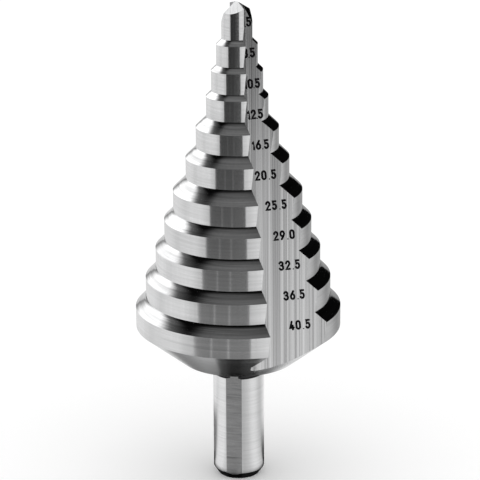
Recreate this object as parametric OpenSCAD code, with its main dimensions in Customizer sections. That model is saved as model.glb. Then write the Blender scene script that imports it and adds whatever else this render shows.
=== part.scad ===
// Step drill: one bar of high speed steel, turned to eleven diameters, with two
// straight flutes, relief-ground lands, a split point and a shank with three flats.
// It stands on the end of its shank, with the point up along +Z.
// The origin is the centre of the shank's end face, and -Y is the side with the numbers.

/* [Steps] */
// Diameter of the first step, which drills the pilot hole
step_1_dia = 6.5; // [6:0.1:7]
// Diameter of the second step
step_2_dia = 8.5; // [8:0.1:9]
// Diameter of the third step
step_3_dia = 10.5; // [10:0.1:11]
// Diameter of the fourth step
step_4_dia = 12.5; // [12:0.1:13]
// Diameter of the fifth step
step_5_dia = 16.5; // [16:0.1:17]
// Diameter of the sixth step
step_6_dia = 20.5; // [20:0.1:21]
// Diameter of the seventh step
step_7_dia = 25.5; // [25:0.1:26]
// Diameter of the eighth step
step_8_dia = 29; // [28.5:0.1:29.5]
// Diameter of the ninth step
step_9_dia = 32.5; // [32:0.1:33]
// Diameter of the tenth step
step_10_dia = 36.5; // [36:0.1:37]
// Diameter of the eleventh and largest step
step_11_dia = 40.5; // [40:0.1:41]
// Height of the straight part of each step
step_h = 4; // [3.8:0.1:4.2]

/* [Land relief] */
// Direction of the front cutting edge, as an angle from -Y towards +X
edge_angle = 16.8; // [14:0.1:20]
// Offset of a step's centre towards its cutting edge, which relieves the land behind it
land_offset = 0.25; // [0.1:0.05:0.4]
// Offset of a shoulder's centre towards its cutting edge
shoulder_offset = 0.5; // [0.3:0.05:0.7]

/* [Flutes] */
// Angle between the cutting face and the flute's wall
flute_angle = 60.4; // [59:0.1:62]
// Radius of the flute's root
flute_root_r = 1.3; // [1.2:0.05:1.7]
// Turn of the flute about the drill's axis, which brings its root nearer the front
flute_turn = 6.5; // [5.6:0.1:7.6]
// Lean of the flute towards the drill's axis
flute_lean = 12.04; // [11.9:0.02:12.1]
// Distance of the flute's corner from the axis along X, level with the foot of the largest step
flute_corner_x = 0.94; // [0.7:0.01:1.1]
// Distance of that corner in front of the axis
flute_corner_y = 12.98; // [12.9:0.01:13.2]

/* [Point] */
// Height of the point above the foot of the first step
point_h = 6.7; // [6.4:0.1:7]
// Fall of the point's relief along +X, in mm for each mm
point_fall_x = 0.377; // [0.3:0.01:0.45]
// Fall of the point's relief along -Y, in mm for each mm
point_fall_y = 0.448; // [0.4:0.01:0.5]
// Distance from the axis to the end of the chisel edge
chisel_r = 0.36; // [0.3:0.02:0.6]
// Slope of the gash that splits the point, from level
gash_slope = 62; // [58:1:66]
// Direction that the gash faces, as an angle from -Y towards +X
gash_angle = 63; // [58:1:68]
// Direction of the lip, as an angle from -Y towards +X
lip_angle = 20.7; // [18:0.1:23]

/* [Back of the cutter] */
// Height of the cone behind the largest step
back_cone_h = 7.1; // [6.6:0.1:7.6]
// Diameter of the flat face at the foot of that cone
collar_dia = 23; // [21:0.5:25]

/* [Shank] */
// Diameter of the shank
shank_dia = 10; // [9.8:0.1:10.2]
// Height of the full shank, from its end face to the neck
shank_h = 21.5; // [20:0.5:23]
// Diameter of the neck between the shank and the cutter
neck_dia = 9.66; // [9.62:0.02:9.8]
// Height of the neck
neck_h = 3.3; // [3:0.1:3.6]
// Distance from the axis to each of the three flats
flat_dist = 4.75; // [4.7:0.01:4.8]
// Direction of the first flat, as an angle from -Y towards +X
flat_angle = -11.5; // [-13:0.1:-10]
// Height of the chamfer on the shank's end
end_chamfer_h = 1.5; // [1:0.1:2]
// Radius that this chamfer takes off
end_chamfer_r = 1; // [0.8:0.1:1.2]

/* [Hidden] */
$fn = 96;
steel = "#b9bcbe";

step_dia = [
    step_1_dia, step_2_dia, step_3_dia, step_4_dia, step_5_dia, step_6_dia,
    step_7_dia, step_8_dia, step_9_dia, step_10_dia, step_11_dia
];
last = len(step_dia) - 1;
max_r = step_dia[last] / 2;
collar_z = shank_h + neck_h;
cutter_z = collar_z + back_cone_h;
// How far one form runs on inside the next, so that the two are one body
lap = 1;
// Longer than the whole drill, for the shapes that cut it
beyond = 120;
// How far past the cutting edge, in degrees, the two lands part, out in the open flute
land_split = 20;

// Height of the foot of step i: every step below it adds its straight part and a 45 degree shoulder
function foot_z(i) = i == last
    ? cutter_z
    : foot_z(i + 1) + step_h + (step_dia[i + 1] - step_dia[i]) / 2;
point_z = foot_z(0) + point_h;

// Point in plan at radius r, with the angle counted from -Y towards +X
function polar(r, angle) = [r * sin(angle), -r * cos(angle)];

// One child and its copy half a turn away, for the two lands, flutes, gashes and reliefs
module both_sides() {
    for (turn = [0, 180]) rotate(turn) children();
}

// Step i as one land sees it. The cylinder and the 45 degree shoulder have centres moved towards
// the cutting edge, the shoulder's further, so the land falls away behind the edge both inwards and down.
module relieved_step(i) {
    r = step_dia[i] / 2;
    shoulder_z = foot_z(i) + step_h;
    low = i == last ? collar_z : foot_z(i) - lap;
    high = lap + (i == 0 ? point_z : foot_z(i - 1));
    intersection() {
        translate(polar(land_offset, edge_angle))
            translate([0, 0, low]) cylinder(h = high - low, r = r - land_offset);
        if (i > 0)
            translate(polar(shoulder_offset, edge_angle))
                translate([0, 0, low])
                    cylinder(
                        h = high - low,
                        r1 = r - shoulder_offset + shoulder_z - low,
                        r2 = r - shoulder_offset + shoulder_z - high
                    );
    }
}

// The land on the -X side, from its cutting edge at the front to its heel at the back.
// It runs on past the axis, so that it and its copy share the core.
module land() {
    intersection() {
        union() {
            for (i = [0 : last]) relieved_step(i);
        }
        rotate(edge_angle + land_split) translate([lap - beyond, -beyond / 2, 0]) cube(beyond);
    }
}

// The cone that bounds the cutter from below
module back_cone() {
    slope = (max_r - collar_dia / 2) / back_cone_h;
    rise = point_z + lap - collar_z;
    translate([0, 0, collar_z]) cylinder(h = rise, r1 = collar_dia / 2, r2 = collar_dia / 2 + rise * slope);
}

// Section of a flute: the wall along +x, the cutting face at the flute angle, and the round root
module flute_section() {
    reach = 2 * max_r;
    root_x = flute_root_r / tan(flute_angle / 2);
    face_end = root_x * [cos(flute_angle), -sin(flute_angle)];
    difference() {
        polygon([[0, 0], [reach, 0], [reach, -reach * tan(flute_angle)]]);
        difference() {
            polygon([[-lap, lap], [root_x, lap], [root_x, -flute_root_r], face_end, [-lap, 0]]);
            translate([root_x, -flute_root_r]) circle(r = flute_root_r);
        }
    }
}

// A flute is a straight cut that leans in towards the point. Its corner runs below the round root.
module flute() {
    translate([flute_corner_x, -flute_corner_y, cutter_z])
        rotate(flute_turn) rotate([-flute_lean, 0, 0])
            translate([0, 0, -cutter_z]) linear_extrude(height = beyond) flute_section();
}

// Everything above the sloping relief of one lip
module above_point_relief() {
    fall = [point_fall_x, point_fall_y];
    slope = atan(norm(fall));
    heading = atan2(point_fall_x, point_fall_y);
    translate([0, 0, point_z])
        rotate(-heading) rotate([slope, 0, 0]) translate([-beyond / 2, -beyond / 2, 0]) cube(beyond);
}

// The gash ahead of one lip: it opens along the lip and runs out in the flute
module gash() {
    chisel_angle = atan2(point_fall_y, point_fall_x);
    start = polar(chisel_r, chisel_angle);
    translate([start[0], start[1], point_z])
        intersection() {
            rotate(gash_angle) rotate([gash_slope, 0, 0]) translate([-beyond / 2, -beyond / 2, 0]) cube(beyond);
            rotate(lip_angle) translate([0, -beyond / 2, -beyond / 2]) cube(beyond);
        }
}

// Turned shank with its neck, end chamfer and three ground flats
module shank() {
    r = shank_dia / 2;
    neck_r = neck_dia / 2;
    difference() {
        rotate_extrude()
            polygon([
                [0, 0], [r - end_chamfer_r, 0], [r, end_chamfer_h],
                [r, shank_h], [neck_r, shank_h + (r - neck_r)], [neck_r, collar_z + lap], [0, collar_z + lap]
            ]);
        for (turn = [0 : 120 : 240])
            rotate(flat_angle + turn)
                translate([-r, -2 * r, -lap]) cube([2 * r, 2 * r - flat_dist, collar_z + lap]);
    }
}

module step_drill() {
    color(steel)
        union() {
            shank();
            difference() {
                intersection() {
                    both_sides() land();
                    back_cone();
                }
                both_sides() flute();
                both_sides() above_point_relief();
                both_sides() gash();
            }
        }
}

step_drill();
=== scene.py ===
"""Looks for a step drill that stands on its shank: ground steel, numerals and a pale studio.

Lengths are worked out in millimetres in the drill's own frame (+Z up its axis, -Y the side with the
numerals) and turned into metres when a mesh is made. Angles in plan run from -Y towards +X.
"""
import math

import bpy
import numpy as np
from bpy.props import FloatProperty, FloatVectorProperty, PointerProperty
from bpy.types import Operator, Panel, PropertyGroup
from mathutils import Matrix


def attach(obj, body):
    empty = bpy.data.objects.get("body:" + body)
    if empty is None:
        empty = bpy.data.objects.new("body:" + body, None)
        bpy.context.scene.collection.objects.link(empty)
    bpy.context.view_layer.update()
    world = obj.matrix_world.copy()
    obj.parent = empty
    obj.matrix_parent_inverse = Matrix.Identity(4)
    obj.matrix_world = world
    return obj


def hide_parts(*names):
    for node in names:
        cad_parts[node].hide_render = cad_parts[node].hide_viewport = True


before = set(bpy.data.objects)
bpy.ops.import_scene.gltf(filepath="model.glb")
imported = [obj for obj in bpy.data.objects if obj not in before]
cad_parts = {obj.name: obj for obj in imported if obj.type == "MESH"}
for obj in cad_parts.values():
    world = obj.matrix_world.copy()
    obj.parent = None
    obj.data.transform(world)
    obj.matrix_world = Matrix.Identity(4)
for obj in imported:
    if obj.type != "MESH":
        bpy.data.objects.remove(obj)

bl_info = {
    "name": "Step Drill Looks",
    "version": (1, 0, 0),
    "blender": (4, 5, 0),
    "location": "View3D > Sidebar > Step Drill",
    "description": "Builds a ground steel step drill with numbered steps in a pale studio",
    "category": "Object",
}

NODE = "step_drill"
BODY = "root"
MM = 1000.0
HALF_TURN = math.pi

# Surfaces of the drill, in the order of its material slots while it is being shaped
(LAND, SHOULDER, WALL, ROOT, FACE, RELIEF, GASH, BACK, COLLAR, NECK, SHANK, FLAT, CHAMFER, END) = range(14)

# Rounds of the searches for the flute's edges
SETTLE_ROUNDS, DEEPEST_ROUNDS, CROSSING_ROUNDS, EXIT_ROUNDS = 5, 70, 50, 40
# Columns of the cutting face, the root, the wall and the land in half the cutter's grid
CUTTER_COLUMNS = (8, 18, 14, 72)
# Rows of the back cone above the flute's lowest tip
BACK_ROWS = 27
# Shares of its height at which a land's rows lie, on the first step and on the others, and a shoulder's
TIP_ROWS, LAND_ROWS, SHOULDER_ROWS = np.arange(9) / 8, np.arange(6) / 6, np.array([0, 0.35, 0.7, 0.8, 0.9])
# Columns of a flat's part beside the neck, its middle, its other side and the round up to the next flat
SHANK_COLUMNS = (4, 12, 4, 40)
# Points closer than this, in mm, are one, on the drill and in the numerals
GRAIN, NUMERAL_GRAIN = 1e-4, 1e-5
# Sizes of the blocks that cut the point's reliefs and gashes, in mm
ROOF_SIZE, GASH_SIZE = 20.0, 40.0
# How far a shoulder's foot may fall behind the cutting edge, in mm
SHOULDER_DROP = 0.6
# Rise of a shoulder's normal, for each mm outwards, at these shares of its width: 45 degrees at
# its foot, and more level in the corner at its top
CORNER_SHARES, CORNER_RISES = (0.1, 0.65, 1.0), (1.0, 0.85, 0.5)
# How far past the cutting edges the two sides of the drill part
SIDE_SPLIT = math.radians(20)


# ---------------------------------------------------------------------------------------------
# Values that a user would change


def length(name, description, default):
    """A length in metres with its label."""
    return FloatProperty(name=name, description=description, default=default, unit="LENGTH", precision=5)


def angle(name, description, degrees):
    """An angle with its label, given here in degrees."""
    return FloatProperty(name=name, description=description, default=math.radians(degrees), unit="ROTATION")


def share(name, description, default):
    """A plain number with its label."""
    return FloatProperty(name=name, description=description, default=default, subtype="FACTOR", min=0, max=4)


def degrees(name, description, default):
    """A plain number of degrees with its label."""
    return FloatProperty(name=name, description=description, default=default, min=-180, max=180)


def colour(name, description, default):
    """A colour with its label."""
    return FloatVectorProperty(
        name=name, description=description, default=default, subtype="COLOR", size=3, min=0, max=1
    )


class DrillSizes(PropertyGroup):
    """Sizes of the drill, the same as those of its solid."""

    step_diameters: FloatVectorProperty(
        name="Step diameters",
        description="Diameters that the steps drill, from the point down",
        size=11,
        unit="LENGTH",
        precision=5,
        default=(0.0065, 0.0085, 0.0105, 0.0125, 0.0165, 0.0205, 0.0255, 0.029, 0.0325, 0.0365, 0.0405),
    )
    step_height: length("Step height", "Straight part of each step", 0.004)
    edge_angle: angle("Edge angle", "Direction of the front cutting edge", 16.8)
    land_offset: length("Land offset", "Shift of a step's centre towards its cutting edge", 0.00025)
    shoulder_offset: length("Shoulder offset", "Shift of a shoulder's centre towards that edge", 0.0005)
    flute_angle: angle("Flute angle", "Angle between the cutting face and the flute wall", 60.4)
    flute_root: length("Flute root", "Radius of the flute's root", 0.0013)
    flute_turn: angle("Flute turn", "Turn of the flute about the drill's axis", 6.5)
    flute_lean: angle("Flute lean", "Lean of the flute towards the axis", 12.04)
    flute_corner_x: length("Flute corner X", "Distance of the flute's corner from the axis along X", 0.00094)
    flute_corner_y: length("Flute corner Y", "Distance of the flute's corner in front of the axis", 0.01298)
    point_height: length("Point height", "Height of the point above the first step's foot", 0.0067)
    point_fall_x: share("Point fall X", "Fall of the point's relief along +X", 0.377)
    point_fall_y: share("Point fall Y", "Fall of the point's relief along -Y", 0.448)
    chisel_radius: length("Chisel radius", "Distance from the axis to the end of the chisel edge", 0.00036)
    gash_slope: angle("Gash slope", "Slope of the gash that splits the point", 62)
    gash_angle: angle("Gash angle", "Direction that the gash faces", 63)
    lip_angle: angle("Lip angle", "Direction of the lip", 20.7)
    back_cone_height: length("Back cone height", "Height of the cone behind the largest step", 0.0071)
    collar_diameter: length("Collar diameter", "Diameter of the flat face at the foot of that cone", 0.023)
    shank_diameter: length("Shank diameter", "Diameter of the shank", 0.01)
    shank_height: length("Shank height", "Height of the full shank", 0.0215)
    neck_diameter: length("Neck diameter", "Diameter of the neck above the shank", 0.00966)
    neck_height: length("Neck height", "Height of the neck", 0.0033)
    flat_distance: length("Flat distance", "Distance from the axis to each flat", 0.00475)
    flat_angle: angle("Flat angle", "Direction of the first flat", -11.5)
    chamfer_height: length("Chamfer height", "Height of the chamfer on the shank's end", 0.0015)
    chamfer_radius: length("Chamfer radius", "Radius that this chamfer takes off", 0.001)


class SteelLook(PropertyGroup):
    """Finish of the ground steel, and the painted shade of the gash, the shank's end and the neck."""

    steel: colour("Steel", "Colour of the ground steel", (0.72, 0.725, 0.73))
    ridges: colour("Bright ridges", "Colour of the steel between deep grinding lines", (0.85, 0.852, 0.857))
    # Painted shade: a darker steel for the point's gash and the shank's end and chamfer, standing for the
    # shade they lie in
    gash: colour("Gash and end painted shade", "Colour of the steel deep in the point's gash", (0.3, 0.3, 0.31))
    # Painted shade: the neck under the collar is near black for the shade it lies in
    groove: colour("Neck painted shade colour", "Colour of the dull neck under the cutter", (0.05, 0.05, 0.052))


class NumeralLook(PropertyGroup):
    """Numerals on the wall of the front flute."""

    height: length("Numeral height", "Height of a numeral", 0.00188)
    width: length("Numeral width", "Width of a numeral", 0.00106)
    stroke: length("Stroke width", "Width of a numeral's stroke", 0.00041)
    proud: length("Numeral thickness", "Height of the mark above the steel", 0.00001)
    lowest: length("Lowest numeral", "Place of the lowest numeral's middle along the flute", 0.00341)
    pitch: length("Numeral pitch", "Distance from one numeral to the next", 0.00577)
    tilt: angle("Numeral tilt", "Turn of the numerals on the wall", 3.9)
    ink: colour("Mark colour", "Colour of the marked steel", (0.004, 0.004, 0.0045))


class StudioLook(PropertyGroup):
    """Floor, lamps and reflecting cards round the drill."""

    floor: colour("Floor colour", "Colour of the pale floor", (0.95, 0.95, 0.95))
    backdrop: share("Backdrop lift", "How much paler the camera sees the floor", 0.07)
    dome: share("Dome light", "Strength of the even light from all round", 1.04)
    gloom: share("Dark room", "Brightness that the steel mirrors above the horizon", 0.004)
    window: share("Window", "Brightness of the tall window behind on the left", 2.1)
    lamp: share("Overhead lamp", "Brightness of the weak lamp overhead", 0.24)
    horizon: share("Horizon", "Brightness of the horizon in front", 1.2)
    card_left: degrees("Card's left edge", "Angle of the left edge of the dark cards", -50.7)
    card_right: degrees("Card's right edge", "Angle of the right edge of the dark cards", 13.2)


# ---------------------------------------------------------------------------------------------
# Form of the drill


def polar(radius, turn):
    """Points in plan at this distance from the axis, with the angle counted from -Y towards +X."""
    return np.stack(np.broadcast_arrays(radius * np.sin(turn), -radius * np.cos(turn)), -1)


def azimuth(points):
    """Angle of points in plan, counted from -Y towards +X."""
    return np.arctan2(points[..., 0], -points[..., 1])


def shifted_circle(radius, shift, turn):
    """Distance from the axis to a circle whose centre lies shift away from it.

    With the angle turn counted from the shift's direction, that is
    shift cos(turn) + sqrt(radius^2 - (shift sin(turn))^2).
    """
    return shift * np.cos(turn) + np.sqrt(radius**2 - (shift * np.sin(turn)) ** 2)


def rotation(axis, turn):
    """Matrix of a turn about the x (0), y (1) or z (2) axis."""
    c, s = math.cos(turn), math.sin(turn)
    i, j = (axis + 1) % 3, (axis + 2) % 3
    m = np.eye(3)
    m[i, i], m[i, j], m[j, i], m[j, j] = c, -s, s, c
    return m


class DrillForm:
    """Derived measures of the drill, in millimetres and radians."""

    # Reach of a flute's section, out past the largest step
    far = 30.0

    def __init__(self, sizes):
        self.radii = np.array(sizes.step_diameters) * MM / 2
        self.step_h = sizes.step_height * MM
        self.edge = sizes.edge_angle
        self.land_offset = sizes.land_offset * MM
        self.shoulder_offset = sizes.shoulder_offset * MM
        self.shank_h = sizes.shank_height * MM
        self.shank_r = sizes.shank_diameter * MM / 2
        self.neck_r = sizes.neck_diameter * MM / 2
        self.collar_r = sizes.collar_diameter * MM / 2
        self.collar_z = self.shank_h + sizes.neck_height * MM
        self.cutter_z = self.collar_z + sizes.back_cone_height * MM
        self.cone_slope = (self.radii[-1] - self.collar_r) / (sizes.back_cone_height * MM)
        rises = self.step_h + np.diff(self.radii)
        self.feet = self.cutter_z + np.append(np.cumsum(rises[::-1])[::-1], 0)
        self.point_z = self.feet[0] + sizes.point_height * MM
        # The point is ground from a blank 1 mm higher
        self.blank_z = self.point_z + 1
        self.fall = np.array([sizes.point_fall_x, sizes.point_fall_y])
        self.chisel_r = sizes.chisel_radius * MM
        self.gash_slope = sizes.gash_slope
        self.gash_angle = sizes.gash_angle
        self.lip_angle = sizes.lip_angle
        self.flat_dist = sizes.flat_distance * MM
        self.flat_angle = sizes.flat_angle
        self.chamfer_h = sizes.chamfer_height * MM
        self.chamfer_r = sizes.chamfer_radius * MM
        # The flute's own axes: p along its wall, q into the steel, w along the flute
        self.flute_at = np.array([sizes.flute_corner_x * MM, -sizes.flute_corner_y * MM, self.cutter_z])
        self.flute_axes = rotation(2, sizes.flute_turn) @ rotation(0, -sizes.flute_lean)
        self.root_r = sizes.flute_root * MM
        self.face_turn = sizes.flute_angle
        self.root_x = self.root_r / math.tan(self.face_turn / 2)
        self.face_way = np.array([math.cos(self.face_turn), -math.sin(self.face_turn)])
        self.root_centre = np.array([self.root_x, -self.root_r])

    def flute_section(self, t):
        """Section of the flute as a path: t runs 0 to 1 in along the cutting face, 1 to 2 round
        the root's arc and 2 to 3 out along the wall. The result is (p, q)."""
        inward = self.far + (self.root_x - self.far) * np.clip(t, 0, 1)
        start = 1.5 * math.pi - self.face_turn
        turn = start + (math.pi / 2 - start) * np.clip(t - 1, 0, 1)
        outward = self.root_x + self.far * np.clip(t - 2, 0, 1)
        face = inward[..., None] * self.face_way
        root = self.root_centre + self.root_r * np.stack([np.cos(turn), np.sin(turn)], -1)
        wall = np.stack([outward, np.zeros_like(outward)], -1)
        return np.where((t <= 1)[..., None], face, np.where((t <= 2)[..., None], root, wall))

    def on_flute(self, t, z):
        """Point of the front flute at section place t and height z: the section slides along
        the flute's own axis until it has that height."""
        p, q = np.moveaxis(self.flute_section(t), -1, 0)
        m = self.flute_axes
        w = (z - self.flute_at[2] - m[2, 0] * p - m[2, 1] * q) / m[2, 2]
        return self.flute_at + np.stack([p, q, w], -1) @ m.T

    def on_wall(self, p, w, proud):
        """Point of the front flute at p along its wall and w along the flute, moved out of the
        steel by proud: on the flat wall, or on the root's arc where p lies nearer to the root.
        The arc comes forward as sqrt(radius^2 - distance^2) says."""
        radius = self.root_r - proud
        inside = np.clip(self.root_x - p, 0, radius)
        q = np.sqrt(radius**2 - inside**2) - self.root_r
        return self.flute_at + np.stack([p, q, w], -1) @ self.flute_axes.T

    def land_radius(self, step, turn):
        """Radius of a step's land, at an angle counted from its cutting edge."""
        return shifted_circle(self.radii[step] - self.land_offset, self.land_offset, turn)

    def shoulder_height(self, step, radius, turn):
        """Height of a step's 45 degree shoulder where it has this radius."""
        s = self.shoulder_offset
        across = np.hypot(radius - s * np.cos(turn), s * np.sin(turn))
        return self.feet[step] + self.step_h + self.radii[step] - s - across

    def bands(self):
        """The turned surfaces from the collar up: (kind, step), with the lower step last."""
        last = len(self.radii) - 1
        out = [(BACK, last)]
        for step in range(last, -1, -1):
            out.append((LAND, step))
            if step:
                out.append((SHOULDER, step))
        return out

    def height(self, band, u, turn):
        """Height of the row at share u of a band. Both ends of a band follow its edges, which
        fall behind the cutting edge because of the relief."""
        kind, step = band
        if kind == BACK:
            low = self.collar_z + 0 * turn
            high = self.collar_z + (self.land_radius(step, turn) - self.collar_r) / self.cone_slope
        elif kind == SHOULDER:
            low = self.shoulder_height(step, self.land_radius(step, turn), turn)
            high = self.shoulder_height(step, self.land_radius(step - 1, turn), turn)
        else:
            below = step + 1
            radius = self.land_radius(step, turn)
            if below < len(self.radii):
                low = self.shoulder_height(below, radius, turn)
            else:
                low = self.collar_z + (radius - self.collar_r) / self.cone_slope
            high = self.shoulder_height(step, radius, turn) if step else self.blank_z + 0 * turn
        return low + (high - low) * u

    def radius(self, band, z, turn):
        """Radius of a band's surface at height z."""
        kind, step = band
        if kind == BACK:
            return self.collar_r + (z - self.collar_z) * self.cone_slope + 0 * turn
        if kind == LAND:
            return self.land_radius(step, turn)
        rho = self.radii[step] - self.shoulder_offset + self.feet[step] + self.step_h - z
        return shifted_circle(rho, self.shoulder_offset, turn)

    def outside(self, t, band, u, edge):
        """How far a point of the flute lies outside a band whose cutting edge is at angle edge,
        with its height and angle. The height and the angle depend on each other, so they are
        worked out in a few rounds."""
        z = self.height(band, u, np.zeros_like(t))
        for _ in range(SETTLE_ROUNDS):
            p = self.on_flute(t, z)
            turn = azimuth(p) - edge
            z = self.height(band, u, turn)
        return np.hypot(p[..., 0], p[..., 1]) - self.radius(band, z, turn), p, z

    def deepest(self, band, u):
        """Section place where the flute comes nearest to the axis, by golden section."""
        ratio = (math.sqrt(5) - 1) / 2
        low, high = np.zeros_like(u), np.full_like(u, 3.0)
        for _ in range(DEEPEST_ROUNDS):
            a, b = high - ratio * (high - low), low + ratio * (high - low)
            nearer = self.outside(a, band, u, self.edge)[0] < self.outside(b, band, u, self.edge)[0]
            low, high = np.where(nearer, low, a), np.where(nearer, b, high)
        return (low + high) / 2

    def crossing(self, band, u, inner, outer, edge):
        """Section place between inner and outer where the flute breaks out, by halving."""
        for _ in range(CROSSING_ROUNDS):
            middle = (inner + outer) / 2
            out = self.outside(middle, band, u, edge)[0] > 0
            outer, inner = np.where(out, middle, outer), np.where(out, inner, middle)
        return (inner + outer) / 2

    def exit_share(self, band):
        """Share of the back cone at which the flute's lowest tip lies, by halving."""
        low, high = np.zeros(1), np.ones(1)
        for _ in range(EXIT_ROUNDS):
            u = (low + high) / 2
            is_open = self.outside(self.deepest(band, u), band, u, self.edge)[0] < 0
            high, low = np.where(is_open, u, high), np.where(is_open, low, u)
        return high[0]

    def half_ring(self, band, u):
        """Rows of points round half of the drill: in along the front cutting face, round the
        root, out along the wall to the heel, and on along the land to the next cutting edge."""
        deep = self.deepest(band, u)
        closed = self.outside(deep, band, u, self.edge)[0] >= 0
        t_edge = np.where(closed, deep, self.crossing(band, u, deep, np.zeros_like(u), self.edge))
        back = self.edge + HALF_TURN
        t_heel = np.where(closed, deep, self.crossing(band, u, deep, np.full_like(u, 3.0), back))
        marks = [t_edge, np.clip(1, t_edge, t_heel), np.clip(2, t_edge, t_heel), t_heel]
        *flute_columns, land_columns = CUTTER_COLUMNS
        spans = zip(marks[:-1], marks[1:], flute_columns)
        t = np.concatenate([a[:, None] + (b - a)[:, None] * (np.arange(n) / n) for a, b, n in spans], 1)
        _, p_edge, z_edge = self.outside(t_edge, band, u, self.edge)
        _, p_heel, z_heel = self.outside(t_heel, band, u, back)
        width = np.maximum(t_heel - t_edge, 1e-9)[:, None]
        z = z_edge[:, None] + (z_heel - z_edge)[:, None] * (t - t_edge[:, None]) / width
        flute = self.on_flute(t, z)
        from_heel, to_edge = azimuth(p_heel), azimuth(p_edge) + HALF_TURN
        turn = from_heel[:, None] + (to_edge - from_heel)[:, None] * (np.arange(land_columns) / land_columns)
        z = self.height(band, u[:, None], turn - back)
        land = np.concatenate([polar(self.radius(band, z, turn - back), turn), z[..., None]], -1)
        land[:, 0] = np.where(closed[:, None], land[:, 0], p_heel)
        flute = np.where(closed[:, None, None], land[:, :1], flute)
        return np.concatenate([flute, land], 1)


def half_turn(points):
    """The same points, half a turn about the axis."""
    return points * np.array([-1.0, -1.0, 1.0])


def grid_faces(rows, columns, start=0, closed=True):
    """Corner numbers of the quads of a grid whose points run row by row from number start."""
    low = start + np.arange(rows - 1)[:, None] * columns
    k = np.arange(columns if closed else columns - 1)
    k1 = (k + 1) % columns
    return np.stack([low + k, low + k1, low + columns + k1, low + columns + k], -1).reshape(-1, 4)


def zip_rings(points, a, b):
    """Triangles between two rings of points round the axis, given by the points' numbers.

    Each ring is taken in order of angle; a step along one ring makes a triangle with the point
    that the other ring has reached by then.
    """
    a, b = (ring[np.argsort(azimuth(points[ring]))] for ring in (a, b))
    a_next, b_next = (azimuth(points[np.roll(ring, -1)]) for ring in (a, b))
    a_next[-1] += 2 * math.pi
    b_next[-1] += 2 * math.pi
    met_b = np.searchsorted(b_next, a_next, "left") % len(b)
    met_a = np.searchsorted(a_next, b_next, "right") % len(a)
    along_a = np.stack([a, np.roll(a, -1), b[met_b]], -1)
    along_b = np.stack([np.roll(b, -1), b, a[met_a]], -1)
    return np.concatenate([along_a, along_b])


def merged(points, faces, grain=GRAIN):
    """Points closer than the grain become one. A quad that this leaves with three corners
    becomes a triangle, and one with fewer goes, as does one on the same corners as another.
    Gives points, quads and triangles, for each of these two the numbers of the faces that they
    come from, and the points' new numbers."""
    keys = np.round(points / grain).astype(np.int64)
    _, first, same = np.unique(keys, axis=0, return_index=True, return_inverse=True)
    same = same.reshape(-1)
    corners = same[faces]
    repeats = corners == np.roll(corners, -1, 1)
    count = repeats.sum(1)
    kept = np.sort(np.unique(np.sort(corners, 1), axis=0, return_index=True)[1])
    whole, single = kept[count[kept] == 0], kept[count[kept] == 1]
    triangles = corners[single][~repeats[single]].reshape(-1, 3)
    return points[first], corners[whole], triangles, whole, single, same


def cutter_grid(form):
    """The cutter above its collar as one grid of points, [rows, columns, 3], and the kind of
    each of its quads. Rows climb the turned bands one after the other and bend with their
    edges; columns go once round, as half_ring says, and again half a turn on."""
    rows, kinds = [], []
    column_kinds = np.repeat([FACE, ROOT, WALL, -1], CUTTER_COLUMNS)
    for band in form.bands():
        kind, step = band
        if kind == BACK:
            tip = form.exit_share(band)
            u = np.append([0, tip / 2], tip + (1 - tip) * (np.arange(BACK_ROWS) / BACK_ROWS) ** 2)
        else:
            u = TIP_ROWS if step == 0 else LAND_ROWS if kind == LAND else SHOULDER_ROWS
        half = form.half_ring(band, u)
        rows.append(np.concatenate([half, half_turn(half)], 1))
        kinds += [np.where(column_kinds < 0, kind, column_kinds)] * len(u)
    return np.concatenate(rows), np.tile(np.stack(kinds[:-1]), 2)


def shank_grid(form):
    """The shank, its neck and its end as one grid. A column's profile runs out over the end
    face, up the chamfer, up the shank and in to the neck, and its radius stops at
    flat distance / cos(angle from the flat's middle) where a flat cuts it."""
    full = math.acos(form.flat_dist / form.shank_r)
    neck = math.acos(form.flat_dist / form.neck_r)
    third = 2 * math.pi / 3
    marks = [-full, -neck, neck, full, third - full]
    spans = zip(marks[:-1], marks[1:], SHANK_COLUMNS)
    aside = np.concatenate([a + (b - a) * np.arange(n) / n for a, b, n in spans])
    turn = np.concatenate([aside + k * third for k in range(3)])
    aside = np.tile(aside, 3)
    flat = aside < full
    limit = np.where(flat, form.flat_dist / np.cos(aside), form.shank_r)
    limit = np.minimum(limit, form.shank_r)
    end_r = form.shank_r - form.chamfer_r
    neck_cone_z = form.shank_h + form.shank_r - form.neck_r
    neck_limit = np.minimum(limit, form.neck_r)
    nothing = np.zeros_like(turn)
    radius = [nothing, nothing + end_r, limit, limit, limit, neck_limit, neck_limit]
    chamfer_z = (limit - end_r) / form.chamfer_r * form.chamfer_h
    top_z = np.where(limit > form.neck_r, form.shank_h + form.shank_r - limit, neck_cone_z)
    height = [nothing, nothing, chamfer_z, (chamfer_z + top_z) / 2, top_z, nothing + neck_cone_z]
    height.append(nothing + form.collar_z)
    points = polar(np.stack(radius), (turn + form.flat_angle)[None, :])
    grid = np.concatenate([points, np.stack(height)[..., None]], -1)
    whole = np.ones_like(flat)
    side = np.where(flat, FLAT, SHANK)
    slim = flat & (form.neck_r * np.cos(aside) > form.flat_dist)
    top = [np.where(slim, FLAT, COLLAR), np.where(slim, FLAT, NECK)]
    return grid, np.stack([END * whole, CHAMFER * whole, side, side, *top])


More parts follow.
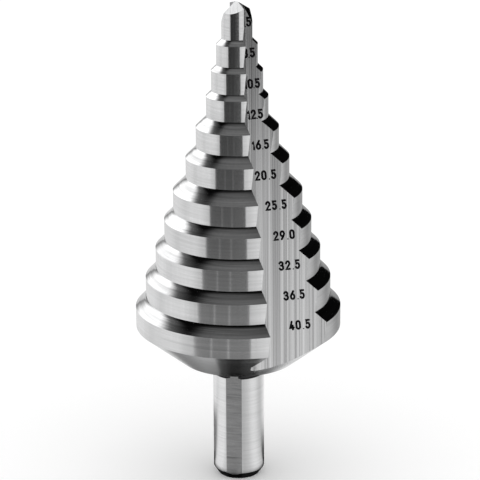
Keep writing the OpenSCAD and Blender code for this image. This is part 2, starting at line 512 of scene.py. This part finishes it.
def drill_blank(form):
    """Points, faces and kinds of the drill before its point is ground: the cutter's grid with a
    flat top, the shank's grid, and the collar face between the two."""
    cutter, cutter_kinds = cutter_grid(form)
    shank, shank_kinds = shank_grid(form)
    rows, columns = cutter.shape[:2]
    start = rows * columns
    faces = np.concatenate([grid_faces(rows, columns), grid_faces(*shank.shape[:2], start)])
    kinds = np.concatenate([cutter_kinds.reshape(-1), shank_kinds.reshape(-1)])
    points = np.concatenate([cutter.reshape(-1, 3), shank.reshape(-1, 3)])
    points, quads, triangles, whole, single, same = merged(points, faces)
    level = np.abs(points[:, 2] - form.collar_z) < GRAIN
    outer = np.hypot(points[:, 0], points[:, 1]) > form.neck_r + 1
    collar = zip_rings(points, np.flatnonzero(level & outer), np.flatnonzero(level & ~outer))[:, ::-1]
    top = same[start - columns : start]
    top = top[top != np.roll(top, 1)]
    all_faces = quads.tolist() + triangles.tolist() + collar.tolist() + [top.tolist()]
    all_kinds = np.concatenate([kinds[whole], kinds[single], np.full(len(collar), COLLAR), [LAND]])
    return points, all_faces, all_kinds


def prism(corners, way, half_length):
    """Points and faces of a prism along way, with the given corners in its middle plane. The
    corners run anticlockwise as seen from where way points."""
    n = len(corners)
    points = np.concatenate([corners - way * half_length, corners + way * half_length])
    ring = np.arange(n)
    sides = np.stack([ring, np.roll(ring, -1), n + np.roll(ring, -1), n + ring], -1)
    return points, sides.tolist() + [ring[::-1].tolist(), (n + ring).tolist()]


def roof_cutter(form):
    """Everything above the two relief planes z = point - |fall . (x, y)|: a prism along the
    chisel edge whose section is a block with a V-shaped underside."""
    slope = np.linalg.norm(form.fall)
    down = np.append(form.fall, 0) / slope
    up = np.array([0, 0, 1.0])
    across = np.array([-1, 0, 1, 1, -1]) * ROOF_SIZE
    height = np.array([-slope, 0, -slope, 1, 1]) * ROOF_SIZE
    corners = form.point_z * up + across[:, None] * down + height[:, None] * up
    return prism(corners, np.cross(down, up), ROOF_SIZE)


def gash_cutter(form):
    """The front gash: a wedge between its sloping plane and the lip's upright plane, along
    the line where the two meet, from the end of the chisel edge."""
    chisel = math.atan2(form.fall[1], form.fall[0])
    start = np.append(polar(form.chisel_r, chisel), form.point_z)
    slope = rotation(2, form.gash_angle) @ rotation(0, form.gash_slope) @ np.array([0, 0, 1.0])
    lip = np.array([math.cos(form.lip_angle), math.sin(form.lip_angle), 0])
    way = np.cross(lip, slope)
    way /= np.linalg.norm(way)
    in_slope, in_lip = np.cross(slope, way), np.cross(way, lip)
    in_slope *= np.sign(in_slope @ lip)
    in_lip *= np.sign(in_lip @ slope)
    corners = start + np.stack([np.zeros(3), in_slope * GASH_SIZE, in_lip * GASH_SIZE])
    turn = np.cross(corners[1] - corners[0], corners[2] - corners[0]) @ way
    return prism(corners if turn > 0 else corners[::-1], way, GASH_SIZE)


def corner_share(form, points):
    """How far up a shoulder a point lies, from 0 at its outer edge to 1 in the corner with the
    step above. Only a shoulder's points are meant."""
    tops = form.feet[-2::-1]
    heights = form.feet[:0:-1] + form.step_h
    step = np.clip(np.searchsorted(heights, points[:, 2] + SHOULDER_DROP, "right") - 1, 0, len(tops) - 1)
    return np.clip((points[:, 2] - heights[step]) / (tops[step] - heights[step]), 0, 1)


def surface_normals(form, points, kinds, side):
    """Exact outward normals of the round surfaces at points of a kind, and zeros for flat ones.

    side is +1 on the land of the front cutting edge and -1 on the other. A land's normal
    points away from its shifted centre, a shoulder's also 45 degrees up, a root's towards the
    middle of its arc, and a cone's away from the axis and along its slope. In the corner at a
    shoulder's top the normals turn more level, as on the small radius that the wheel leaves there.
    """
    out = np.zeros_like(points)
    flat_xy = points * [1, 1, 0]
    away = side[:, None] * np.append(polar(1.0, form.edge), 0)

    def straight_from(centre):
        ray = flat_xy - centre
        return ray / np.maximum(np.linalg.norm(ray, axis=-1, keepdims=True), 1e-9)

    def put(kind, rays, rise):
        at = kinds == kind
        tilted = rays[at] + np.stack(np.broadcast_arrays(0, 0, rise), -1)
        out[at] = tilted / np.linalg.norm(tilted, axis=-1, keepdims=True)

    put(LAND, straight_from(away * form.land_offset), 0)
    rise = np.interp(corner_share(form, points[kinds == SHOULDER]), CORNER_SHARES, CORNER_RISES)
    put(SHOULDER, straight_from(away * form.shoulder_offset), rise)
    plain = straight_from(np.zeros(3))
    put(BACK, plain, -form.cone_slope)
    put(SHANK, plain, 0)
    put(NECK, plain, 0)
    put(CHAMFER, plain, -form.chamfer_r / form.chamfer_h)
    # A root's point belongs to the flute whose arc it lies on: the front one, or that half a turn on
    root = kinds == ROOT
    turns = np.array([[1.0, 1.0, 1.0], [-1.0, -1.0, 1.0]])[:, None]
    local = (points[root] * turns - form.flute_at) @ form.flute_axes
    rays = (np.append(form.root_centre, 0) - local) * [1, 1, 0]
    reach = np.linalg.norm(rays, axis=-1, keepdims=True)
    rays = (rays / np.maximum(reach, 1e-9)) @ form.flute_axes.T * turns
    error = np.abs(reach - form.root_r)
    out[root] = np.where(error[0] < error[1], rays[0], rays[1])
    return out


# ---------------------------------------------------------------------------------------------
# Meshes


def mesh_of(name, points, faces, kinds=None):
    """A mesh in metres from points in millimetres."""
    mesh = bpy.data.meshes.new(name)
    mesh.from_pydata((points.reshape(-1, 3) / MM).tolist(), [], faces)
    if kinds is not None:
        mesh.polygons.foreach_set("material_index", np.asarray(kinds, np.int32))
    mesh.update()
    return mesh


def shown(name, mesh, materials=()):
    """A new object with this mesh and these materials, at the origin."""
    for material in materials:
        mesh.materials.append(material)
    obj = bpy.data.objects.new(name, mesh)
    bpy.context.scene.collection.objects.link(obj)
    return obj


def grind_point(drill, form, slots):
    """Cuts the two reliefs and the two gashes of the point out of the drill's blank."""
    gash, faces = gash_cutter(form)
    cuts = [(*roof_cutter(form), RELIEF), (gash, faces, GASH), (half_turn(gash), faces, GASH)]
    cutters = []
    for i, (points, faces, kind) in enumerate(cuts):
        mesh = mesh_of("point_cutter", points, faces, [kind] * len(faces))
        cutter = shown(f"point_cutter_{i}", mesh, slots)
        modifier = drill.modifiers.new(cutter.name, "BOOLEAN")
        modifier.operation = "DIFFERENCE"
        modifier.solver = "EXACT"
        modifier.object = cutter
        cutters.append(cutter)
    view = bpy.context.evaluated_depsgraph_get()
    view.update()
    ground = bpy.data.meshes.new_from_object(drill.evaluated_get(view))
    drill.modifiers.clear()
    blank, drill.data = drill.data, ground
    bpy.data.meshes.remove(blank)
    for cutter in cutters:
        # A mesh takes its object with it
        bpy.data.meshes.remove(cutter.data)
    return ground


def read(collection, field, width=1, kind=np.float32):
    """One field of a mesh's elements as an array, with this many columns if more than one."""
    values = np.empty(len(collection) * width, kind)
    collection.foreach_get(field, values)
    return values.reshape(-1, width).astype(float) if width > 1 else values


def set_exact_normals(mesh, form):
    """Gives each corner the normal of the true surface: the formula of its round surface, or
    its face's own normal where that is flat."""
    points = read(mesh.vertices, "co", 3) * MM
    kinds = read(mesh.polygons, "material_index", kind=np.int32)
    size = read(mesh.polygons, "loop_total", kind=np.int32)
    ahead = (azimuth(read(mesh.polygons, "center", 3)) - form.edge - SIDE_SPLIT) % (2 * math.pi)
    side = np.where(ahead > math.pi, 1.0, -1.0)
    face = np.repeat(np.arange(len(size)), size)
    corner = points[read(mesh.loops, "vertex_index", kind=np.int32)]
    normals = surface_normals(form, corner, kinds[face], side[face])
    plain = np.linalg.norm(normals, axis=1) < 0.5
    normals[plain] = read(mesh.polygons, "normal", 3)[face][plain]
    mesh.shade_smooth()
    mesh.normals_split_custom_set(normals.tolist())


# ---------------------------------------------------------------------------------------------
# Numerals

# Right ends of the numerals on the wall in mm, from the point down
NUMERAL_ENDS = (3.24, 3.79, 4.58, 5.0, 5.97, 7.19, 9.03, 10.4, 11.29, 12.04, 12.98)
# The signs are set close up to the first diameter in mm, and fully apart from the second
CLOSE_SET = (12.5, 20.5)
# Gaps in mm between figures, before the decimal point and after it: when close, and added when apart
CLOSE_GAPS, WIDER_GAPS = np.array([0.05, 0.01, 0.02]), np.array([0.12, 0.33, 0.18])
# Width of the decimal point in strokes
DOT_SHARE = 0.6
# Widths of the signs' cells where they aren't 1
CELL_WIDTHS = {"1": 0.34, ".": 0.0}
# Points round each end of a stroke, up to its tip
END_POINTS = 6


def arc(cx, cy, rx, ry, start, stop, n=14):
    """Points on an ellipse's arc between two angles in degrees, anticlockwise from +x."""
    turn = np.radians(start + (stop - start) * np.arange(n + 1) / n)
    return np.stack([cx + rx * np.cos(turn), cy + ry * np.sin(turn)], -1)


def glyph_strokes():
    """Centre lines of the signs' strokes, each in a cell 1 wide and 1 high."""
    oval = np.concatenate([arc(0.5, 0.73, 0.5, 0.27, 180, 0), arc(0.5, 0.27, 0.5, 0.27, 0, -180)])
    six = np.concatenate([[[0.78, 1.0], [0.3, 0.66]], arc(0.5, 0.31, 0.5, 0.31, 150, 510, 24)])
    waist = [[0.4, 0.54]]
    return {
        "0": [np.concatenate([oval, oval[:1]])],
        "1": [[[0.0, 0.76], [0.3, 1.0], [0.3, 0.0]]],
        "2": [np.concatenate([arc(0.5, 0.72, 0.48, 0.28, 170, -25), [[0.0, 0.0], [1.0, 0.0]]])],
        "3": [
            np.concatenate([arc(0.45, 0.77, 0.47, 0.23, 160, -90), waist]),
            np.concatenate([waist, arc(0.45, 0.27, 0.53, 0.27, 90, -160)]),
        ],
        "4": [[[0.55, 1.0], [0.02, 0.22], [1.0, 0.22]], [[0.74, 0.48], [0.74, 0.0]]],
        "5": [np.concatenate([
            [[0.92, 1.0], [0.1, 1.0], [0.06, 0.52]], arc(0.46, 0.32, 0.52, 0.32, 130, -150),
        ])],
        "6": [six],
        "8": [arc(0.5, 0.77, 0.42, 0.23, 0, 360, 24), arc(0.5, 0.27, 0.5, 0.27, 0, 360, 24)],
        "9": [1 - six],
        ".": [[[0.0, 0.0], [0.0, 0.001]]],
    }


def ribbon(path, width):
    """A flat ribbon of this width along a path, with round ends: each point of the path moves
    half the width to both sides along the mean normal of its two segments. Gives the outline's
    two rows, [2, n, 2]."""
    way = np.diff(path, axis=0)
    way /= np.maximum(np.linalg.norm(way, axis=1, keepdims=True), 1e-9)
    normal = np.stack([-way[:, 1], way[:, 0]], -1)
    before, after = np.concatenate([normal[:1], normal]), np.concatenate([normal, normal[-1:]])
    mean = before + after
    mean /= np.maximum((mean * after).sum(1, keepdims=True), 0.6)
    turn = (np.arange(END_POINTS, 0, -1) / END_POINTS * math.pi / 2)[:, None]
    back = path[0] - way[0] * (np.sin(turn) * width / 2)
    front = path[-1] + way[-1] * (np.sin(turn[::-1]) * width / 2)
    centre = np.concatenate([back, path, front])
    reach = np.concatenate([normal[0] * np.cos(turn), mean, normal[-1] * np.cos(turn[::-1])]) * width / 2
    return np.stack([centre + reach, centre - reach])


def numeral_mesh(form, look):
    """All numerals as ribbons on the wall of the front flute.

    A numeral's cell has x along the wall and y along the flute. It is turned a little on the
    wall, moved to the numeral's place in the flute's own axes, and lies a hair proud of the steel.
    """
    glyphs = glyph_strokes()
    tall, stroke = look.height * MM, look.stroke * MM
    inner = np.array([look.width * MM - stroke, tall - stroke])
    c, s = math.cos(look.tilt), math.sin(look.tilt)
    tilt = np.array([[c, s], [-s, c]])
    points, faces, count = [], [], 0
    for step, (diameter, right) in enumerate(zip(2 * form.radii, NUMERAL_ENDS)):
        text = f"{diameter:.1f}"
        gap, before_dot, after_dot = CLOSE_GAPS + WIDER_GAPS * np.interp(diameter, CLOSE_SET, [0, 1]) ** 1.5
        up = look.lowest * MM + look.pitch * MM * (len(NUMERAL_ENDS) - 1 - step)
        places, advance = [], 0.0
        for sign, following in zip(text, text[1:] + " "):
            line = stroke * (DOT_SHARE if sign == "." else 1)
            places.append((sign, line, advance))
            space = after_dot if sign == "." else before_dot if following == "." else gap
            advance += CELL_WIDTHS.get(sign, 1.0) * inner[0] + line + space
        total = advance - gap
        for sign, line, x in places:
            for path in glyphs[sign]:
                rows = ribbon(path * inner, line)
                flat = (rows + [x + line / 2 - total / 2, line / 2 - tall / 2]) @ tilt
                place = flat + [right - total / 2, up]
                points.append(form.on_wall(place[..., 0], place[..., 1], look.proud * MM).reshape(-1, 3))
                faces.append(grid_faces(*rows.shape[:2], count, closed=False))
                count += len(points[-1])
    points, quads, triangles, *_ = merged(np.concatenate(points), np.concatenate(faces), NUMERAL_GRAIN)
    return mesh_of("step_numerals", points, quads.tolist() + triangles.tolist())


# ---------------------------------------------------------------------------------------------
# Materials

GRINDING_INPUTS = ("Across X", "Across Y", "Across Z", "Seed")
# How much darker a scratch is than the lines round it, and how deep it is in line heights
SCRATCH_TONE, SCRATCH_DEPTH = 0.6, 0.5
# Chatter marks per metre along x, y and z, and the step from a finish's seed to theirs
CHATTER, CHATTER_SEED = (2000.0, 2000.0, 0.0), 20
# Depth in metres of the grinding lines where their bump is 1
LINE_DEPTH = 0.00002


class Nodes:
    """Small helper that adds and links the nodes of a tree."""

    def __init__(self, tree):
        self.tree = tree

    def add(self, kind, values=(), **settings):
        """A node with its settings and the values or links of its inputs."""
        node = self.tree.nodes.new(kind)
        for name, value in settings.items():
            setattr(node, name, value)
        for key, value in dict(values).items():
            if isinstance(value, bpy.types.NodeSocket):
                self.tree.links.new(value, node.inputs[key])
            else:
                node.inputs[key].default_value = value
        return node

    def math(self, operation, a, b=0.0, c=0.0, clamp=False):
        """The result of a Math node."""
        node = self.add("ShaderNodeMath", {0: a, 1: b, 2: c}, operation=operation, use_clamp=clamp)
        return node.outputs[0]

    def tint(self, share, low, high):
        """The colour at a share of the way from low to high."""
        node = self.add("ShaderNodeMix", {0: share, 6: (*low, 1), 7: (*high, 1)}, data_type="RGBA")
        return node.outputs[2]

    def surface(self, kind, values):
        """Adds a shader with these inputs and links it to the material's output."""
        self.add("ShaderNodeOutputMaterial", {"Surface": self.add(kind, values).outputs[0]})


def bare_material(name):
    """A new material without nodes, and the helper that adds them."""
    material = bpy.data.materials.new(name)
    material.use_nodes = True
    material.node_tree.nodes.clear()
    return material, Nodes(material.node_tree)


def grinding_group():
    """Grinding lines: fine noise stretched along one direction, in two widths, with rare
    deeper scratches. Lines runs from 0 to 1 round 0.5, and Scratches is 1 in a scratch."""
    group = bpy.data.node_groups.new("Grinding lines", "ShaderNodeTree")
    for name in GRINDING_INPUTS:
        group.interface.new_socket(name, in_out="INPUT", socket_type="NodeSocketFloat")
    for name in ("Lines", "Scratches"):
        group.interface.new_socket(name, in_out="OUTPUT", socket_type="NodeSocketFloat")
    n = Nodes(group)
    given = n.add("NodeGroupInput").outputs
    place = n.add("ShaderNodeTexCoord").outputs["Object"]
    scale = n.add("ShaderNodeCombineXYZ", {i: given[i] for i in range(3)}).outputs[0]
    scaled = n.add("ShaderNodeVectorMath", {0: place, 1: scale}, operation="MULTIPLY").outputs[0]

    def noise(size, detail, shift):
        w = n.math("ADD", given["Seed"], shift)
        values = {"Vector": scaled, "W": w, "Scale": size, "Detail": detail, "Roughness": 0.6}
        return n.add("ShaderNodeTexNoise", values, noise_dimensions="4D").outputs["Fac"]

    fine, broad = noise(1.0, 3.0, 0.0), noise(0.23, 2.0, 5.0)
    mixed = n.math("MULTIPLY_ADD", fine, 0.65, n.math("MULTIPLY", broad, 0.35))
    lines = n.math("MULTIPLY_ADD", n.math("SUBTRACT", mixed, 0.5), 2.4, 0.5, clamp=True)
    rare = n.math("SUBTRACT", noise(0.6, 1.0, 9.0), 0.66)
    scratches = n.math("MULTIPLY", rare, 12.0, clamp=True)
    n.add("NodeGroupOutput", {"Lines": lines, "Scratches": scratches})
    return group


def grinding(n, across, seed):
    """Lines and scratches of the grinding group, with this many lines per metre along x, y and z."""
    group = bpy.data.node_groups.get("Grinding lines") or grinding_group()
    return n.add("ShaderNodeGroup", node_tree=group, values=zip(GRINDING_INPUTS, (*across, seed))).outputs


def ground_steel(
    name, base, rough, across, seed, *,
    spread=0.1, tone=0.12, bump=0.15, anisotropic=0.0, turn=0.0, chatter=0.0,
):
    """Steel ground in one direction.

    across gives the lines per metre along x, y and z. spread is how far the roughness swings
    about rough, and tone how much darker the deep lines are. chatter is how much darker the
    faint upright marks are that cross the lines of a turned surface.
    """
    material, n = bare_material(name)
    lines, scratches = grinding(n, across, seed)
    shade = n.math("MULTIPLY_ADD", scratches, -SCRATCH_TONE, lines, clamp=True)
    if chatter:
        marks = grinding(n, CHATTER, seed + CHATTER_SEED)["Lines"]
        shade = n.math("MULTIPLY", shade, n.math("MULTIPLY_ADD", marks, chatter, 1 - chatter))
    height = n.math("MULTIPLY_ADD", scratches, -SCRATCH_DEPTH, lines)
    relief = n.add("ShaderNodeBump", {"Strength": bump, "Distance": LINE_DEPTH, "Height": height})
    values = {
        "Base Color": n.tint(shade, [c * (1 - tone) for c in base], base),
        "Roughness": n.math("MULTIPLY_ADD", lines, -spread, rough + spread / 2),
        "Metallic": 1.0,
        "Normal": relief.outputs["Normal"],
        "Anisotropic": anisotropic,
        "Anisotropic Rotation": turn,
    }
    if anisotropic:
        values["Tangent"] = n.add("ShaderNodeTangent", direction_type="RADIAL", axis="Z").outputs[0]
    n.surface("ShaderNodeBsdfPrincipled", values)
    return material


def steel_slots(look):
    """The finish of each kind of surface, in the order of the kinds, with painted shade in the colour
    of the gash, the shank's end and the neck. Turned surfaces blur what they mirror across their
    lines, up and down, and the flute along its width."""
    # deep is that painted shade colour of the gash and the shank's end
    steel, deep, bright = look.steel, look.gash, look.ridges
    turned = {"anisotropic": 0.9, "turn": 0.25}
    # Each row's number is its seed
    finishes = [
        ("Turned lands", bright, 0.15, (40, 40, 2000), {
            "spread": 0.06, "tone": 0.25, "chatter": 0.6, **turned,
        }),
        ("Turned shoulders", bright, 0.09, (40, 40, 1600), {
            "spread": 0.04, "tone": 0.68, "bump": 1.0, "chatter": 0.3, "anisotropic": 0.5, "turn": 0.25,
        }),
        ("Flute wall", bright, 0.22, (4800, 0, 10), {"tone": 0.66, "bump": 0.1, "anisotropic": 0.85}),
        ("Flute root", bright, 0.25, (2600, 2600, 15), {"tone": 0.5}),
        ("Cutting face", steel, 0.2, (0, 3000, 25), {"tone": 0.2}),
        ("Point relief", steel, 0.2, (3000, 400, 0), {"tone": 0.3}),
        # Painted shade: the gash takes the darker steel
        ("Point gash", deep, 0.25, (3000, 3000, 200), {}),
        ("Back cone", steel, 0.17, (40, 40, 3500), turned),
        ("Shank", bright, 0.14, (60, 60, 2600), {"tone": 0.14, **turned}),
        ("Shank flats", bright, 0.2, (200, 200, 2000), {"tone": 0.5, "bump": 0.2}),
        # Painted shade: the shank's end and its chamfer take the darker steel
        ("End chamfer", deep, 0.2, (200, 200, 3500), {}),
        # Painted shade: the neck under the collar
        ("Neck groove", look.groove, 0.3, (40, 40, 3000), {}),
    ]
    made = [ground_steel(*row, seed, **settings) for seed, (*row, settings) in enumerate(finishes, 1)]
    *upper, back, shank, flat, end, neck = made
    return [*upper, back, back, neck, shank, flat, end, end]


def marked_steel(look):
    """Dark etched marks: a dull oxide with a faint grain."""
    material, n = bare_material("Etched mark")
    place = n.add("ShaderNodeTexCoord").outputs["Object"]
    grain = n.add("ShaderNodeTexNoise", {"Vector": place, "Scale": 9000.0, "Detail": 2.0}).outputs["Fac"]
    n.surface("ShaderNodeBsdfPrincipled", {
        "Base Color": n.tint(grain, look.ink, [c * 1.8 for c in look.ink]),
        "Roughness": 0.8,
        "Specular IOR Level": 0.1,
    })
    return material


# ---------------------------------------------------------------------------------------------
# Studio

# The camera's place in metres, its turns in degrees and its lens in millimetres
CAMERA_AT = (0.0, -0.41487, 0.18999)
CAMERA_DOWN, CAMERA_RIGHT, CAMERA_ROLL = 18.822, 0.0556, -0.277
CAMERA_LENS = 170.164
# Reach of the cards round the drill, and half the floor's side, in mm
ROOM, FLOOR = 900.0, 4000.0
# Heights of the room card's rows above the horizon, in degrees
ROOM_ROWS = np.append(np.arange(0, 20, 1), np.arange(20, 91, 2))
# Angles of the narrow gaps between the dark cards, in degrees
CARD_GAPS = (-27.5, -10.4)
# Direction of the bright horizon that the front flute's wall mirrors, in degrees
HORIZON_TURN = 13.5
# Share of a card's light that a second mirroring keeps
SECOND_BOUNCE = 0.03


def add_camera():
    """The camera at the photograph's place, with its small turn and roll."""
    data = bpy.data.cameras.new("camera")
    data.lens = CAMERA_LENS
    data.sensor_width = 36
    data.clip_start = 0.01
    camera = bpy.data.objects.new("camera", data)
    bpy.context.scene.collection.objects.link(camera)
    camera.matrix_world = (
        Matrix.Translation(CAMERA_AT)
        @ Matrix.Rotation(math.radians(-CAMERA_RIGHT), 4, "Z")
        @ Matrix.Rotation(math.radians(90 - CAMERA_DOWN), 4, "X")
        @ Matrix.Rotation(math.radians(CAMERA_ROLL), 4, "Z")
    )
    bpy.context.scene.camera = camera


def smooth(value, low, high):
    """0 below low and 1 above high, with a soft step between (3 t^2 - 2 t^3)."""
    t = np.clip((value - low) / (high - low), 0, 1)
    return t * t * (3 - 2 * t)


def ridge(value, middle, width):
    """A soft ridge of height 1 round middle: exp(-((value - middle) / width)^2)."""
    return np.exp(-(((value - middle) / width) ** 2))


def floor_light(turn, distance, look):
    """Brightness of the cards on the floor at an angle (radians) and distance (mm).

    In front lies a row of dark cards, darker further out, with narrow gaps. The rest is pale,
    a little darker in places. Close to the shank everything fades, a painted shadow of the cutter
    on the floor. Behind, this painted shadow reaches further out, and on the left in two steps.
    """
    aside = np.degrees(turn)
    # The mirrored edge of a card stands at one share of every step's width, so the card's edge
    # bends a little towards the drill
    bend = 4.3 * (116 / np.maximum(distance, 60)) ** 2.2
    left, right = look.card_left + bend, look.card_right - bend * 0.28
    inside = smooth(aside, left - 0.6, left + 0.6) * (1 - smooth(aside, right - 0.6, right + 0.6))
    dark = 0.29 * (np.maximum(distance, 106) / 106) ** -1.68
    gaps = sum(ridge(aside, gap, 0.8) for gap in CARD_GAPS)
    # The gaps are brighter, and within 8.5 mm of the axis the dark cards turn almost black: a painted shadow
    # of the cutter
    dark = dark * (1 + 0.9 * gaps) * (0.02 + 0.98 * smooth(distance, 7, 8.5))
    # On the left, beside the dark cards and on the right
    pale = 0.9 - 0.09 * ridge(aside, -106, 12) - 0.2 * smooth(aside, -68, -50)
    pale = pale + 0.2 * smooth(aside, 12, 33) - 0.28 * ridge(aside, 105, 25)
    # Far out behind on the right, close by on the right, and behind on the left
    pale = pale - 0.5 * smooth(aside, 108, 138) * smooth(distance, 50, 90)
    pale = pale - 0.3 * ridge(aside, 30, 22) * (1 - smooth(distance, 60, 90))
    pale = pale - 0.12 * (1 - smooth(aside, -165, -125))
    # Painted shadow of the cutter: the pale cards fade towards the shank, beside it from 9 mm, behind on the
    # right from 33 mm and behind on the left in two steps
    beside = smooth(distance, 7, 9)
    painted_shadow_left = 0.25 * smooth(distance, 9, 15) + 0.75 * smooth(distance, 28, 42)
    back = np.where(aside > 0, smooth(distance, 9, 33), painted_shadow_left)
    pale = pale * (beside + (back - beside) * smooth(np.abs(aside), 98, 122))
    return dark * inside + np.maximum(pale, 0.02) * (1 - inside)


def room_light(way, look):
    """Brightness of the room in a direction, with gloom between its lights: a tall window behind
    on the left, weaker near the horizon, a weak lamp overhead in front, and a bright line along
    the horizon in front on the right, with a faint one beside it."""
    x, y, z = np.moveaxis(way, -1, 0)
    window = 0.9 * smooth(y, 0.12, 0.36) + 0.1 * smooth(y, -0.15, 0.15)
    window = window * smooth(-x, 0.0, 0.3) * (1 - 0.4 * smooth(z, 0.6, 0.8))
    window = window * (0.17 + 0.83 * smooth(z, 0.02, 0.28))
    lamp = (1 - smooth(np.abs(x), 0.42, 0.62)) * smooth(z, 0.66, 0.97) * (1 - smooth(y, -0.1, 0.1))
    aside = np.degrees(np.arctan2(x, -y)) - HORIZON_TURN
    rise = np.degrees(np.arcsin(np.clip(z, 0, 1)))
    horizon = ridge(rise, 0, 17) * (1 - smooth(rise, 13, 18)) * ridge(aside, 0, 19)
    beside = 0.2 * ridge(rise, 0, 14) * smooth(x, 0.6, 0.9) * (1 - smooth(y, 0.1, 0.3))
    return look.gloom + look.window * window + look.lamp * lamp + look.horizon * (horizon + beside)


def add_card(name, points, light):
    """A glowing card that only the steel mirrors: a ring of points with a brightness each."""
    mesh = mesh_of(name, points, grid_faces(*light.shape).tolist())
    attribute = mesh.attributes.new("light", "FLOAT", "POINT")
    attribute.data.foreach_set("value", light.reshape(-1).astype(np.float32))
    material, n = bare_material(name)
    material.cycles.emission_sampling = "NONE"
    # Between two steel surfaces little of the card is left
    first = n.math("LESS_THAN", n.add("ShaderNodeLightPath").outputs["Ray Depth"], 1.5)
    left = n.math("MULTIPLY_ADD", first, 1 - SECOND_BOUNCE, SECOND_BOUNCE)
    level = n.add("ShaderNodeAttribute", attribute_name="light").outputs["Fac"]
    n.surface("ShaderNodeEmission", {"Strength": n.math("MULTIPLY", level, left)})
    card = shown(name, mesh, [material])
    for ray in ("camera", "diffuse", "transmission", "volume_scatter", "shadow"):
        setattr(card, f"visible_{ray}", False)


def add_cards(look):
    """The cards on the floor and the room above them, as rings round the drill."""
    turn, distance = np.meshgrid(np.radians(np.arange(-180, 180, 0.5)), np.geomspace(4.05, ROOM, 80))
    flat = np.concatenate([polar(distance, turn), np.full(distance.shape + (1,), 0.05)], -1)
    add_card("floor_cards", flat, floor_light(turn, distance, look))
    turn, up = np.meshgrid(np.radians(np.arange(-180, 180, 3.0)), np.radians(ROOM_ROWS))
    way = np.concatenate([polar(np.cos(up), turn), np.sin(up)[..., None]], -1)
    add_card("room_cards", way * ROOM, room_light(way, look))


def add_floor(look):
    """A pale floor under the drill, which the camera and the steel see a little paler."""
    x, y = np.meshgrid([-FLOOR, FLOOR], [-FLOOR, FLOOR])
    mesh = mesh_of("studio_floor", np.stack([x, y, 0 * x], -1), grid_faces(2, 2, closed=False).tolist())
    material, n = bare_material("Pale floor")
    rays = n.add("ShaderNodeLightPath").outputs
    sharp = n.math("MAXIMUM", rays["Is Glossy Ray"], rays["Is Transmission Ray"])
    seen = n.math("MAXIMUM", rays["Is Camera Ray"], sharp)
    n.surface("ShaderNodeBsdfPrincipled", {
        "Base Color": (*look.floor, 1),
        "Roughness": 0.9,
        "Specular IOR Level": 0.0,
        "Emission Color": (1, 1, 1, 1),
        "Emission Strength": n.math("MULTIPLY", seen, look.backdrop),
    })
    shown("studio_floor", mesh, [material])


def add_world(look):
    """An even pale dome of light."""
    world = bpy.data.worlds.new("studio")
    bpy.context.scene.world = world
    world.use_nodes = True
    background = world.node_tree.nodes["Background"]
    background.inputs["Color"].default_value = (1, 1, 1, 1)
    background.inputs["Strength"].default_value = look.dome


# ---------------------------------------------------------------------------------------------
# Operators


class DRILL_OT_body(Operator):
    """Builds the drill's steel body over its solid"""

    bl_idname = "step_drill.body"
    bl_label = "Drill body"

    def execute(self, context):
        form = DrillForm(context.scene.drill_sizes)
        slots = steel_slots(context.scene.steel_look)
        drill = shown("drill_body", mesh_of("drill_body", *drill_blank(form)), slots)
        set_exact_normals(grind_point(drill, form, slots), form)
        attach(drill, BODY)
        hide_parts(NODE)
        return {"FINISHED"}


class DRILL_OT_numerals(Operator):
    """Marks each step's diameter on the wall of the front flute"""

    bl_idname = "step_drill.numerals"
    bl_label = "Numerals"

    def execute(self, context):
        look = context.scene.numeral_look
        mesh = numeral_mesh(DrillForm(context.scene.drill_sizes), look)
        marks = shown("step_numerals", mesh, [marked_steel(look)])
        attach(marks, BODY)
        return {"FINISHED"}


class DRILL_OT_studio(Operator):
    """Sets the floor, the light and the camera"""

    bl_idname = "step_drill.studio"
    bl_label = "Studio"

    def execute(self, context):
        look = context.scene.studio_look
        add_floor(look)
        add_cards(look)
        add_world(look)
        add_camera()
        context.scene.view_settings.view_transform = "Standard"
        return {"FINISHED"}


class DRILL_PT_panel(Panel):
    """Lists the drill's pieces and the values that they are made with"""

    bl_idname = "DRILL_PT_panel"
    bl_label = "Step Drill"
    bl_space_type = "VIEW_3D"
    bl_region_type = "UI"
    bl_category = "Step Drill"

    def draw(self, context):
        for operator in OPERATORS:
            self.layout.operator(operator.bl_idname)
        for name in GROUPS:
            group = getattr(context.scene, name)
            box = self.layout.box()
            box.label(text=group.__doc__)
            for key in group.bl_rna.properties.keys():
                if key not in ("rna_type", "name"):
                    box.prop(group, key)


OPERATORS = (DRILL_OT_body, DRILL_OT_numerals, DRILL_OT_studio)
GROUPS = {
    "drill_sizes": DrillSizes,
    "steel_look": SteelLook,
    "numeral_look": NumeralLook,
    "studio_look": StudioLook,
}


def register():
    for cls in (*GROUPS.values(), *OPERATORS, DRILL_PT_panel):
        bpy.utils.register_class(cls)
    for name, cls in GROUPS.items():
        setattr(bpy.types.Scene, name, PointerProperty(type=cls))


def unregister():
    for name in GROUPS:
        delattr(bpy.types.Scene, name)
    for cls in (DRILL_PT_panel, *OPERATORS, *GROUPS.values()):
        bpy.utils.unregister_class(cls)


def main():
    register()
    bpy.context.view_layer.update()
    bpy.ops.step_drill.body()
    bpy.ops.step_drill.numerals()
    bpy.ops.step_drill.studio()


if __name__ == "__main__":
    main()
